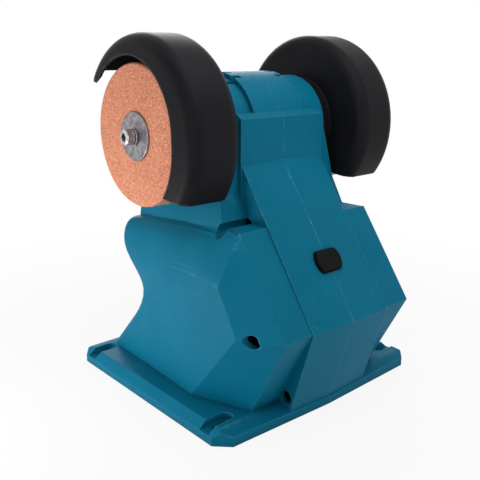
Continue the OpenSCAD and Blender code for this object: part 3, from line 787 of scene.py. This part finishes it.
# in the mouldings below, the pale edge colour is partly wear and partly painted highlight, and crease sets
# painted shade in creases
TEAL = Moulded(
    "teal_moulding", "housing", srgb(4, 107, 136), srgb(9, 112, 142), rough=0.5, specular=0.07, grain=3200.0,
    scuffs=0.3, scuff_colour=srgb(74, 150, 172), seam_scuff=0.75, edge_width=1.0,
    edge_wear_and_highlight_colour=srgb(92, 168, 190), edge_wear_and_highlight_amount=0.85, crease_shade=0.3, crease_shade_reach=6.0)
GUARD_BLACK = Moulded(
    "guard_plastic", "guard", srgb(25, 25, 28), srgb(28, 28, 31), rough=0.42, specular=0.06, grain=2600.0,
    depth=0.03, scuffs=0.15, scuff_colour=srgb(60, 60, 64), edge_width=1.8, edge_wear_and_highlight_colour=srgb(98, 98, 102),
    edge_wear_and_highlight_amount=1.0, crease_shade=0.3)
BLACK_PLASTIC = Moulded(
    "black_moulding", "black_plastic", srgb(17, 17, 19), srgb(22, 22, 24), rough=0.6, specular=0.06,
    grain=2200.0, depth=0.03, scuffs=0.12, scuff_colour=srgb(56, 56, 60), edge_width=0.8,
    edge_wear_and_highlight_colour=srgb(44, 44, 47), edge_wear_and_highlight_amount=0.5)
WHITE_PLASTIC = Moulded(
    "white_moulding", "white_plastic", srgb(208, 208, 200), srgb(196, 196, 188), rough=0.5, specular=0.4,
    scuffs=0.2, scuff_colour=srgb(160, 160, 152))
WIRE_SKIN = Moulded(
    "wire_skin", "wire", srgb(150, 26, 20), srgb(132, 20, 16), rough=0.45, specular=0.4, scuffs=0.1,
    scuff_colour=srgb(190, 80, 70))
CARBON = Moulded(
    "carbon_block", "carbon", srgb(26, 26, 27), srgb(38, 38, 39), rough=0.6, specular=0.3, grain=1800.0,
    depth=0.05, scuffs=0.3, scuff_colour=srgb(90, 90, 92))
MAGNET = Moulded(
    "ferrite", "magnet", srgb(44, 42, 42), srgb(56, 53, 52), rough=0.65, specular=0.3, grain=1500.0,
    depth=0.05, scuffs=0.3, scuff_colour=srgb(96, 94, 92))
SALMON = Stone(
    "salmon_stone", "abrasive", srgb(226, 145, 111), srgb(218, 136, 103), rough=0.92, specular=0.2)
WOOL = Felt("white_felt", "felt", srgb(216, 218, 214), srgb(184, 187, 183), rough=0.95, specular=0.1)
ZINC = Metal("zinc_plate", "zinc", srgb(166, 162, 165), srgb(112, 109, 113), rough=0.25, high=0.45)
# grooves sets painted shade in the grooves and corners of the steel parts
STEEL = Metal(
    "bright_steel", "steel", srgb(214, 213, 212), srgb(160, 159, 161), rough=0.16, high=0.32, grooves=0.8)
BLACK_STEEL = Metal(
    "blackened_steel", "black_steel", srgb(52, 52, 55), srgb(38, 38, 40), rough=0.35, high=0.5)
CAN_STEEL = Metal("sheet_steel", "can_steel", srgb(160, 160, 164), srgb(130, 130, 134), rough=0.35, high=0.5)
COPPER = Metal("copper_wire", "copper", srgb(188, 110, 70), srgb(164, 90, 54), rough=0.28, high=0.45)
BRASS = Metal("plain_brass", "brass", srgb(198, 168, 96), srgb(170, 138, 74), rough=0.28, high=0.45)


@dataclass(frozen=True)
class Softening:
    """How the sharp edges of a solid are rounded for the eye.

    Attributes:
        width: Width of the rounding in millimetres.
        angle: Edges that turn more than this, in degrees, are rounded.
        rounds: Number of faces across the rounding.
        flatten: Whether triangles in one plane are joined first.
        clamp: Whether the rounding narrows where edges lie close together.
        merge: Points nearer than this, in millimetres, become one.
        level: Faces within this angle, in degrees, count as one plane.
        weight: How far large faces set the shading, where 50 is even.
    """

    width: float
    angle: float
    rounds: int
    flatten: bool = True
    clamp: bool = True
    merge: float = 0.01
    level: float = 0.03
    weight: int = 80

    def apply(self, node: bpy.types.Object) -> None:
        """Adds the rounding to a solid without changing its mesh.

        Args:
            node: The solid.
        """
        weld = node.modifiers.new("weld", "WELD")
        weld.merge_threshold = self.merge * MM
        if self.flatten:
            flat = node.modifiers.new("flat", "DECIMATE")
            flat.decimate_type = "DISSOLVE"
            flat.angle_limit = math.radians(self.level)
        bevel = node.modifiers.new("round", "BEVEL")
        bevel.limit_method = "ANGLE"
        bevel.angle_limit = math.radians(self.angle)
        bevel.width = self.width * MM
        bevel.segments = self.rounds
        bevel.use_clamp_overlap = self.clamp
        bevel.miter_outer = "MITER_ARC"
        shade = node.modifiers.new("shade", "WEIGHTED_NORMAL")
        shade.keep_sharp = True
        shade.weight = self.weight


SCREW_EDGES = Softening(0.15, 30.0, 1)


def dress(node: bpy.types.Object, finish: Finish, soft: Softening | None = None) -> None:
    """Gives a solid of the frame its finish and softened edges.

    Args:
        node: The solid.
        finish: The finish of its faces.
        soft: How its edges are rounded, if they are.
    """
    mesh = node.data
    mesh.materials.clear()
    mesh.materials.append(finish.material())
    for face in mesh.polygons:
        face.use_smooth = True
    if soft is not None:
        soft.apply(node)
    LOG.info("dressed %s with %s", node.name, finish.name)


@dataclass
class MeshPiece:
    """A mesh under construction, with rings of points about the wheel axis."""

    name: str
    merge: float = 0.0001 * MM
    points: list[Vector] = field(default_factory=list)
    faces: list[list[int]] = field(default_factory=list)

    def ring(self, places: list[Vector]) -> list[int]:
        """Adds a ring of points.

        Args:
            places: The points.

        Returns:
            Their numbers.
        """
        first = len(self.points)
        self.points.extend(places)
        return list(range(first, first + len(places)))

    def skin(self, first: list[int], second: list[int]) -> None:
        """Joins two closed rings of equal length with four-sided faces.

        Args:
            first: Numbers of the points in one ring.
            second: Numbers of the points in the other.
        """
        count = len(first)
        for at in range(count):
            after = (at + 1) % count
            self.faces.append([first[at], first[after], second[after], second[at]])

    def fan(self, ring: list[int], tip: Vector) -> None:
        """Closes a ring with triangles to a point.

        Args:
            ring: Numbers of the points in the ring.
            tip: The point.
        """
        middle = len(self.points)
        self.points.append(tip)
        count = len(ring)
        for at in range(count):
            self.faces.append([ring[at], ring[(at + 1) % count], middle])

    def finish(self, look: Finish, body: str, smooth_angle: float = 32.0) -> bpy.types.Object:
        """Turns the points and faces into an object that rides on a body.

        Args:
            look: The finish of the piece.
            body: Name of the body it rides on.
            smooth_angle: Edges sharper than this, in degrees, stay sharp.

        Returns:
            The object.
        """
        mesh = bpy.data.meshes.new(self.name)
        mesh.from_pydata([tuple(point) for point in self.points], [], self.faces)
        work = bmesh.new()
        work.from_mesh(mesh)
        bmesh.ops.remove_doubles(work, verts=work.verts, dist=self.merge)
        bmesh.ops.recalc_face_normals(work, faces=work.faces)
        for face in work.faces:
            face.smooth = True
        for edge in work.edges:
            edge.smooth = edge.calc_face_angle(0.0) < math.radians(smooth_angle)
        work.to_mesh(mesh)
        work.free()
        piece = bpy.data.objects.new(self.name, mesh)
        bpy.context.scene.collection.objects.link(piece)
        mesh.materials.append(look.material())
        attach(piece, body)
        LOG.info("built %s with %s", self.name, look.name)
        return piece


@dataclass
class Housing:
    """The two moulded halves and their screws."""

    nodes: dict[str, bpy.types.Object]
    soft: Softening = Softening(0.18, 24.0, 2, clamp=False)

    def dress(self) -> None:
        """Dresses the halves and their screws."""
        for side in Side:
            dress(self.nodes["housing_" + side.word], TEAL, self.soft)
        dress(self.nodes["housing_screws"], BLACK_STEEL, SCREW_EDGES)


@dataclass
class Guards:
    """The mirrored pair of wheel guards and their screws."""

    nodes: dict[str, bpy.types.Object]
    soft: Softening = Softening(0.5, 35.0, 3, flatten=False, clamp=False)

    def dress(self) -> None:
        """Dresses the guards and their screws."""
        for side in Side:
            dress(self.nodes["guard_" + side.word], GUARD_BLACK, self.soft)
        dress(self.nodes["guard_screws"], BLACK_STEEL, SCREW_EDGES)


@dataclass
class WheelEnd:
    """One wheel with its arbor, flange, spring washer and screw, all on the spindle.

    Attributes:
        nodes: The solids of the frame.
        side: The end of the spindle.
        around: Points in a ring.
        knurls: Grooves round the screw head.
        groove: Depth of the grooves.
        knurl_low: Height above the seat where the grooves start.
        knurl_high: Depth below the outer face where the grooves end.
        foot: Bevel at the seat, as heights above it and insets, in millimetres.
        crown: Rounding of the outer end, as depths below its face and insets, in millimetres.
        head_length: Length of the screw head.
        head_radius: Radius of the screw head.
        shank_radius: Radius of the screw's shank.
        tip_gap: How far the screw's tip stays inside its solid.
        tip_dome: Height of the dome at the tip.
        tip_bevel: Bevel between the tip and the shank.
        socket_width: Width of the hexagon socket across its flats.
        socket_depth: Depth of the socket.
        socket_flare: How much wider the socket's mouth is.
        socket_lip: Depth of the flared mouth.
        socket_cone: Depth of the cone at the socket's end.
        washer_steps: Faces round the spring washer.
        washer_lift: Rise of the washer from one end to the other.
        washer_edge: Bevel of the washer's edges.
        washer_play: Play of the washer on the shank.
        split: Width of the washer's gap in degrees.
        split_turn: Place of the gap round the axis in degrees.
        stone_edges: Rounding of the grinding wheel.
        felt_edges: Rounding of the polishing wheel.
        flange_edges: Rounding of the flange.
        arbor_edges: Rounding of the arbor.
        axis: A point on the wheel axis.
    """

    nodes: dict[str, bpy.types.Object]
    side: Side
    around: int = 96
    knurls: int = 32
    groove: float = 0.16 * MM
    knurl_low: float = 0.6 * MM
    knurl_high: float = 1.0 * MM
    foot: tuple[tuple[float, float], ...] = ((0.0, 0.5), (0.35, 0.0))
    crown: tuple[tuple[float, float], ...] = ((0.7, 0.03), (0.2, 0.4), (0.0, 0.8))
    head_length: float = 5.0 * MM
    head_radius: float = 4.25 * MM
    shank_radius: float = 2.5 * MM
    tip_gap: float = 0.4 * MM
    tip_dome: float = 0.2 * MM
    tip_bevel: float = 0.4 * MM
    socket_width: float = 4.0 * MM
    socket_depth: float = 2.6 * MM
    socket_flare: float = 0.5 * MM
    socket_lip: float = 0.3 * MM
    socket_cone: float = 0.5 * MM
    washer_steps: int = 72
    washer_lift: float = 0.24 * MM
    washer_edge: float = 0.15 * MM
    washer_play: float = 0.1 * MM
    split: float = 26.0
    split_turn: float = 40.0
    stone_edges: Softening = Softening(0.4, 30.0, 2, clamp=False)
    felt_edges: Softening = Softening(0.3, 40.0, 2)
    flange_edges: Softening = Softening(0.2, 30.0, 2, clamp=False)
    arbor_edges: Softening = Softening(0.2, 30.0, 2)
    axis: Vector = field(init=False)

    def __post_init__(self) -> None:
        """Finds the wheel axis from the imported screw."""
        low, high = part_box("wheel_screw_" + self.side.word)
        self.axis = (low + high) / 2

    def point(self, along: float, radius: float, angle: float) -> Vector:
        """Places a point by its distance along the axis, its radius and its angle.

        Args:
            along: Distance from the middle of the machine, outward on this side.
            radius: Distance from the axis.
            angle: Angle about the axis in radians.

        Returns:
            The point.
        """
        return Vector((self.side.value * along, self.axis.y + radius * math.cos(angle),
                       self.axis.z + radius * math.sin(angle)))

    def reach(self, node: str) -> tuple[float, float]:
        """Gives how far a node starts and ends along the axis, outward.

        Args:
            node: The node's name.

        Returns:
            The start and the end.
        """
        low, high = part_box(node)
        ends = sorted((abs(low.x), abs(high.x)))
        return ends[0], ends[1]

    def circle(self, along: float, radius: float) -> list[Vector]:
        """Gives a round ring of points."""
        return [self.point(along, radius, math.tau * step / self.around) for step in range(self.around)]

    def toothed(self, along: float) -> list[Vector]:
        """Gives a ring of the screw head whose radius follows the knurling.

        Args:
            along: Distance along the axis.

        Returns:
            The points.
        """
        places = []
        for step in range(self.around):
            angle = math.tau * step / self.around
            share = 0.5 - 0.5 * math.cos(angle * self.knurls)
            places.append(self.point(along, self.head_radius - self.groove * share, angle))
        return places

    def hexagon(self, along: float, width: float) -> list[Vector]:
        """Gives a six-sided ring with as many points as a round one.

        Args:
            along: Distance along the axis.
            width: Distance across the flats.

        Returns:
            The points.
        """
        places = []
        sixth = math.tau / 6
        for step in range(self.around):
            angle = math.tau * step / self.around
            inside = (angle % sixth) - sixth / 2
            places.append(self.point(along, width / 2 / math.cos(inside), angle))
        return places

    def head_rows(self, seat: float, outer: float) -> list[list[Vector]]:
        """Gives the rings of the screw head, from its seat to its outer face.

        Args:
            seat: Where the head starts along the axis.
            outer: Where it ends.

        Returns:
            The rings.
        """
        foot = [self.circle(seat + rise * MM, self.head_radius - inset * MM) for rise, inset in self.foot]
        sides = [self.toothed(seat + self.knurl_low), self.toothed(outer - self.knurl_high)]
        crown = [self.circle(outer - drop * MM, self.head_radius - inset * MM) for drop, inset in self.crown]
        return foot + sides + crown

    def build_screw(self) -> None:
        """Builds the knurled socket screw and lets it stand for its solid."""
        name = "wheel_screw_" + self.side.word
        inner, outer = self.reach(name)
        seat = outer - self.head_length
        tip = inner + self.tip_gap
        dome = tip + self.tip_dome
        floor = outer - self.socket_depth
        piece = MeshPiece("knurled_screw_" + self.side.word)
        rows = [
            self.circle(dome, self.shank_radius - self.tip_bevel),
            self.circle(dome + self.tip_bevel, self.shank_radius),
            self.circle(seat, self.shank_radius),
            *self.head_rows(seat, outer),
            self.hexagon(outer, self.socket_width + self.socket_flare),
            self.hexagon(outer - self.socket_lip, self.socket_width),
            self.hexagon(floor, self.socket_width),
        ]
        rings = [piece.ring(row) for row in rows]
        for first, second in zip(rings, rings[1:]):
            piece.skin(first, second)
        piece.fan(rings[0], self.point(tip, 0.0, 0.0))
        piece.fan(rings[-1], self.point(floor - self.socket_cone, 0.0, 0.0))
        made = piece.finish(STEEL, ROTOR)
        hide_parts(name)

    def build_washer(self) -> None:
        """Builds the split spring washer and lets it stand for its solid."""
        name = "lock_washer_" + self.side.word
        inner, outer = self.reach(name)
        low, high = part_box(name)
        radius = (high.z - low.z) / 2
        bore = self.shank_radius + self.washer_play
        edge = self.washer_edge
        thick = outer - inner - self.washer_lift
        gap = math.radians(self.split)
        start = math.radians(self.split_turn) + gap / 2
        piece = MeshPiece("spring_washer_" + self.side.word)
        rings = []
        for step in range(self.washer_steps + 1):
            share = step / self.washer_steps
            angle = start + (math.tau - gap) * share
            base = inner + self.washer_lift * share
            top = base + thick
            corners = [(base, bore + edge), (base, radius - edge), (base + edge, radius),
                       (top - edge, radius), (top, radius - edge), (top, bore + edge),
                       (top - edge, bore), (base + edge, bore)]
            rings.append(piece.ring([self.point(along, far, angle) for along, far in corners]))
        for first, second in zip(rings, rings[1:]):
            piece.skin(first, second)
        piece.faces.append(list(reversed(rings[0])))
        piece.faces.append(rings[-1])
        made = piece.finish(STEEL, ROTOR)
        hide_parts(name)

    def dress(self) -> None:
        """Dresses the solids that stay and builds the finer pieces."""
        word = self.side.word
        if self.side is Side.LEFT:
            dress(self.nodes["grinding_wheel"], SALMON, self.stone_edges)
        else:
            dress(self.nodes["polishing_wheel"], WOOL, self.felt_edges)
        dress(self.nodes["flange_" + word], ZINC, self.flange_edges)
        dress(self.nodes["arbor_" + word], STEEL, self.arbor_edges)
        dress(self.nodes["lock_washer_" + word], STEEL)
        dress(self.nodes["wheel_screw_" + word], STEEL)
        self.build_washer()
        self.build_screw()


@dataclass
class Drive:
    """The motor inside the arch and the parts that turn with the spindle."""

    nodes: dict[str, bpy.types.Object]
    soft: Softening = Softening(0.1, 35.0, 1)

    def dress(self) -> None:
        """Dresses every piece of the motor."""
        looks = {
            "motor_can": CAN_STEEL, "motor_end_left": BLACK_PLASTIC, "motor_end_right": BLACK_PLASTIC,
            "magnets": MAGNET, "bearing_left": STEEL, "bearing_right": STEEL, "brush_holders": BRASS,
            "brushes": CARBON, "spindle": STEEL, "armature_core": CAN_STEEL, "windings": COPPER,
            "commutator": COPPER, "cooling_fan": WHITE_PLASTIC,
        }
        for name, look in looks.items():
            dress(self.nodes[name], look, self.soft)


@dataclass
class Controls:
    """The push button, its switch, the power inlet and the leads."""

    nodes: dict[str, bpy.types.Object]
    button_edges: Softening = Softening(0.4, 35.0, 3, clamp=False)
    switch_edges: Softening = Softening(0.2, 35.0, 1)
    small_edges: Softening = Softening(0.2, 35.0, 2)

    def dress(self) -> None:
        """Dresses the controls."""
        dress(self.nodes["power_button"], BLACK_PLASTIC, self.button_edges)
        dress(self.nodes["switch_plunger"], WHITE_PLASTIC, self.small_edges)
        dress(self.nodes["power_switch"], BLACK_PLASTIC, self.switch_edges)
        dress(self.nodes["dc_inlet"], BLACK_PLASTIC, self.small_edges)
        dress(self.nodes["lead_wires"], WIRE_SKIN)


@dataclass(frozen=True)
class Lamp:
    """A square soft lamp.

    Attributes:
        name: Name of the lamp.
        place: Where it hangs, in metres.
        size: Side of its square face in metres.
        power: Its power in watts.
    """

    name: str
    place: tuple[float, float, float]
    size: float
    power: float

    def hang(self, target: Vector) -> None:
        """Hangs the lamp so that it points at a target.

        Args:
            target: The point that it faces.
        """
        light = bpy.data.lights.new(self.name, "AREA")
        light.shape = "SQUARE"
        light.size = self.size
        light.energy = self.power
        lamp = bpy.data.objects.new(self.name, light)
        lamp.location = self.place
        lamp.visible_camera = False
        aim = target - Vector(self.place)
        lamp.rotation_euler = aim.to_track_quat("-Z", "Y").to_euler()
        bpy.context.scene.collection.objects.link(lamp)


@dataclass
class Studio:
    """The pale floor, the soft lights and the camera.

    Attributes:
        camera_place: Where the camera stands, in metres.
        camera_pitch: How far it looks down, in degrees.
        camera_yaw: How far it is turned to the right, in degrees.
        focal_pixels: Focal length in pixels of the photograph.
        image_pixels: Width of the photograph in pixels.
        near: Nearest distance shown.
        far: Farthest distance shown.
        floor_half: Half the side of the floor.
        floor_drop: How far the floor lies below the base, so that the two faces never coincide.
        paper_tone: Tone of the floor.
        glow_near: Distance from the machine up to which the floor shows its shadow most.
        glow_far: Distance from which the floor is plain white.
        glow_least: Share of plain white close to the machine.
        soft_light: Strength of the light from all round.
        target: The point that all lamps face.
        lamps: The lamps.
    """

    camera_place: tuple[float, float, float] = (-0.264711, -0.301239, 0.194541)
    camera_pitch: float = 15.777
    camera_yaw: float = 40.968
    focal_pixels: float = 668.592
    image_pixels: float = 480.0
    near: float = 0.01
    far: float = 50.0
    floor_half: float = 4.0
    floor_drop: float = 0.2 * MM
    paper_tone: float = 0.85
    glow_near: float = 0.1
    glow_far: float = 0.4
    glow_least: float = 0.88
    soft_light: float = 0.42
    target: tuple[float, float, float] = (0.0, 0.0, 0.1)
    lamps: tuple[Lamp, ...] = (
        Lamp("key", (-1.1, 0.6, 0.06), 0.8, 1.3),
        Lamp("low", (-0.22, 0.05, 0.02), 0.12, 0.3),
        Lamp("top", (-0.02, -0.14, 0.38), 0.25, 0.4),
        Lamp("fill", (0.1, -0.4, 0.01), 0.3, 0.2),
        Lamp("side", (-1.0, -0.6, 0.15), 0.6, 1.1),
        Lamp("front", (0.75, 1.1, 0.55), 0.8, 8.0),
    )

    def build_camera(self) -> None:
        """Places the camera where the photograph was taken from."""
        lens = bpy.data.cameras.new("camera")
        lens.sensor_fit = "HORIZONTAL"
        lens.angle = 2 * math.atan(self.image_pixels / 2 / self.focal_pixels)
        lens.clip_start = self.near
        lens.clip_end = self.far
        camera = bpy.data.objects.new("camera", lens)
        camera.location = self.camera_place
        tilt = math.radians(90 - self.camera_pitch)
        camera.rotation_euler = Euler((tilt, 0.0, math.radians(-self.camera_yaw)))
        bpy.context.scene.collection.objects.link(camera)
        bpy.context.scene.camera = camera

    def build_floor(self) -> None:
        """Lays a pale floor that keeps the object's shadow."""
        half = self.floor_half
        corners = [(-half, -half), (half, -half), (half, half), (-half, half)]
        mesh = bpy.data.meshes.new("floor")
        mesh.from_pydata([(x, y, -self.floor_drop) for x, y in corners], [], [(0, 1, 2, 3)])
        floor = bpy.data.objects.new("floor", mesh)
        bpy.context.scene.collection.objects.link(floor)
        mesh.materials.append(self.make_paper())

    def make_paper(self) -> bpy.types.Material:
        """Makes the floor's paper, which turns to plain white away from the machine.

        Returns:
            The material.
        """
        material = bpy.data.materials.new("floor_paper")
        material.use_nodes = True
        material.node_tree.nodes.clear()
        tree = Tree(material.node_tree)
        out = tree.add("OutputMaterial")
        paper = tree.add("BsdfDiffuse")
        paper.inputs["Color"].default_value = (self.paper_tone, self.paper_tone, self.paper_tone, 1.0)
        glow = tree.add("Emission")
        glow.inputs["Color"].default_value = WHITE
        reach = tree.add("VectorMath", operation="LENGTH")
        tree.join(tree.add("NewGeometry").outputs["Position"], reach.inputs[0])
        share = tree.span(reach.outputs["Value"], self.glow_near, self.glow_far, self.glow_least, 1.0,
                          smooth=True)
        self.split_light(tree, tree.math("MULTIPLY", self.seen_rays(tree), share), paper, glow, out)
        return material

    @staticmethod
    def seen_rays(tree: Tree) -> bpy.types.NodeSocket:
        """Picks out the rays that show the background rather than light the object.

        Args:
            tree: The tree.

        Returns:
            A socket that is one for such rays.
        """
        rays = tree.add("LightPath").outputs
        glossy = tree.math("MAXIMUM", rays["Is Camera Ray"], rays["Is Glossy Ray"])
        return tree.math("MAXIMUM", glossy, rays["Is Transmission Ray"])

    @staticmethod
    def split_light(tree: Tree, share: bpy.types.NodeSocket, lit: bpy.types.Node, shown: bpy.types.Node,
                    out: bpy.types.Node) -> None:
        """Mixes what lights the object with what is shown behind it.

        Args:
            tree: The tree.
            share: Share of the shader that is shown.
            lit: The shader that lights the object.
            shown: The shader that is shown.
            out: The output node.
        """
        mix = tree.add("MixShader")
        tree.join(share, mix.inputs[0])
        tree.join(lit.outputs[0], mix.inputs[1])
        tree.join(shown.outputs[0], mix.inputs[2])
        tree.join(mix.outputs[0], out.inputs["Surface"])

    def build_world(self) -> None:
        """Makes a white background and a plain soft light from all round."""
        world = bpy.data.worlds.new("studio")
        bpy.context.scene.world = world
        world.use_nodes = True
        world.node_tree.nodes.clear()
        tree = Tree(world.node_tree)
        out = tree.add("OutputWorld")
        shown = tree.add("Background")
        shown.inputs["Color"].default_value = WHITE
        shown.inputs["Strength"].default_value = 1.0
        light = tree.add("Background")
        light.inputs["Color"].default_value = WHITE
        light.inputs["Strength"].default_value = self.soft_light
        self.split_light(tree, self.seen_rays(tree), light, shown, out)

    def build(self) -> None:
        """Builds the whole studio."""
        self.build_camera()
        self.build_floor()
        self.build_world()
        for lamp in self.lamps:
            lamp.hang(Vector(self.target))
        bpy.context.scene.view_settings.view_transform = "Standard"
        LOG.info("built the studio")


def main() -> None:
    """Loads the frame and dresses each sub-assembly."""
    logging.basicConfig(level=logging.INFO, format="%(message)s")
    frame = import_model()
    nodes = frame["nodes"]
    studio = Studio()
    studio.build()
    Housing(nodes).dress()
    Guards(nodes).dress()
    for side in Side:
        WheelEnd(nodes, side).dress()
    Drive(nodes).dress()
    Controls(nodes).dress()
    bpy.context.view_layer.update()


if __name__ == "__main__":
    main()
